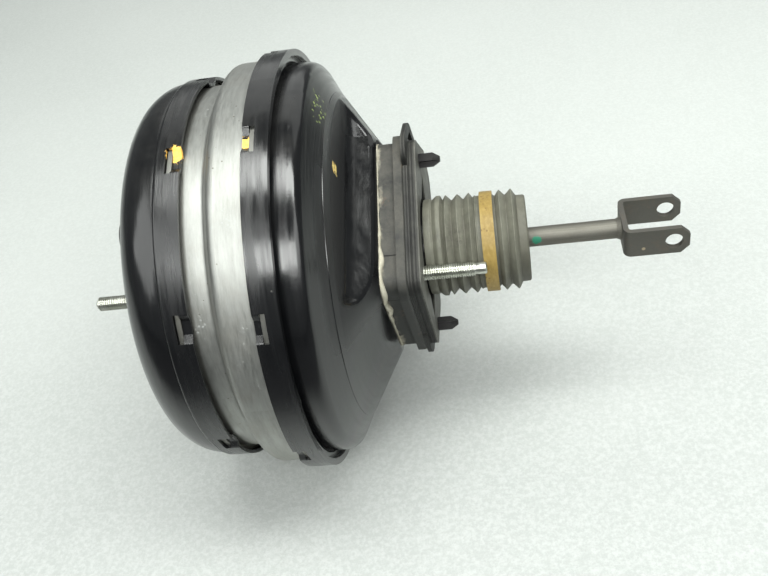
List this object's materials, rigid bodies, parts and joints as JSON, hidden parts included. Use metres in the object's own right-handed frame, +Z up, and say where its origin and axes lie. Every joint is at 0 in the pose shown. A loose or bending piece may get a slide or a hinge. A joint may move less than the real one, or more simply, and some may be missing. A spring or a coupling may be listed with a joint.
{
  "type": "brake booster",
  "caption": "Tandem vacuum brake booster: black pressed shells clinched to an aluminium centre housing, studs, folded rubber boot and a clevis push rod.",
  "frame": {"origin": "centre of the face that meets the bulkhead, on the booster's axis, midway between the two rear studs", "axes": "+X along the booster's axis towards the pedal, +Y along the clevis pin, +Z up"},
  "size_m": [0.3274, 0.236, 0.236],
  "materials": {
    "black_paint": "satin",
    "housing_aluminium": "satin",
    "spacer_plastic": "matt",
    "gasket_foam": "matt",
    "clip_plastic": "matt",
    "zinc_plate": "satin",
    "sealant": "matt",
    "boot_rubber": "matt",
    "ochre_band": "matt",
    "inner_rubber": "matt",
    "guide_plastic": "matt",
    "valve_plastic": "satin",
    "plate_aluminium": "satin",
    "spring_steel": "satin",
    "rod_steel": "satin",
    "clevis_steel": "satin",
    "filter_foam": "matt",
    "felt": "matt"
  },
  "bodies": {
    "housing": {"rear_shell": "black_paint", "front_shell": "black_paint", "centre_housing": "housing_aluminium", "tie_bolts": "zinc_plate", "wall_bolt_seals": "inner_rubber", "spacer": "spacer_plastic", "bulkhead_gasket": "gasket_foam", "push_in_clips": "clip_plastic", "sealant_bead": "sealant", "vacuum_grommet": "inner_rubber", "neck_bearing": "guide_plastic", "neck_seal": "inner_rubber", "wall_seal": "inner_rubber", "wall_bearing": "guide_plastic", "boot": "boot_rubber", "return_spring": "spring_steel"},
    "piston": {"valve_body": "valve_plastic", "rear_diaphragm_plate": "plate_aluminium", "front_diaphragm_plate": "plate_aluminium", "rear_diaphragm": "inner_rubber", "front_diaphragm": "inner_rubber", "rear_plate_retainer": "spring_steel", "front_plate_retainer": "spring_steel", "plate_bolt_seals": "inner_rubber", "stop_key": "rod_steel", "reaction_disc": "inner_rubber", "output_rod": "rod_steel", "output_rod_retainer": "spring_steel", "poppet_valve": "inner_rubber", "poppet_stop": "guide_plastic", "poppet_spring": "spring_steel", "input_spring": "spring_steel", "air_filter": "filter_foam", "silencer": "felt"},
    "plunger": {"plunger": "rod_steel"},
    "push_rod": {"push_rod": "rod_steel", "spring_washer": "spring_steel", "clevis": "clevis_steel"},
    "boot_band": {"boot_band": "ochre_band"}
  },
  "joints": [
    {"name": "power_stroke", "type": "slide", "parent": "housing", "child": "piston", "axis": [-1, 0, 0], "range_m": [0, 0.03], "stiffness_N_per_m": 1500, "springref_m": -0.05, "deforming": ["boot", "return_spring", "rear_diaphragm", "front_diaphragm"]},
    {"name": "plunger_slide", "type": "slide", "parent": "piston", "child": "plunger", "axis": [-1, 0, 0], "range_m": [0, 0.002], "stiffness_N_per_m": 3000, "springref_m": -0.01, "deforming": ["input_spring", "poppet_spring"]},
    {"name": "rod_tilt", "type": "hinge", "parent": "plunger", "child": "push_rod", "pos_m": [-0.0146, 0, 0], "axis": [0, 1, 0], "range_deg": [-2, 2], "stiffness_Nm_per_rad": 20},
    {"name": "boot_band_slide", "type": "slide", "parent": "housing", "child": "boot_band", "axis": [-1, 0, 0], "range_m": [0, 0.0192]}
  ],
  "couplings": [
    {"joint": "boot_band_slide", "follows": "power_stroke", "ratio": 0.635}
  ]
}
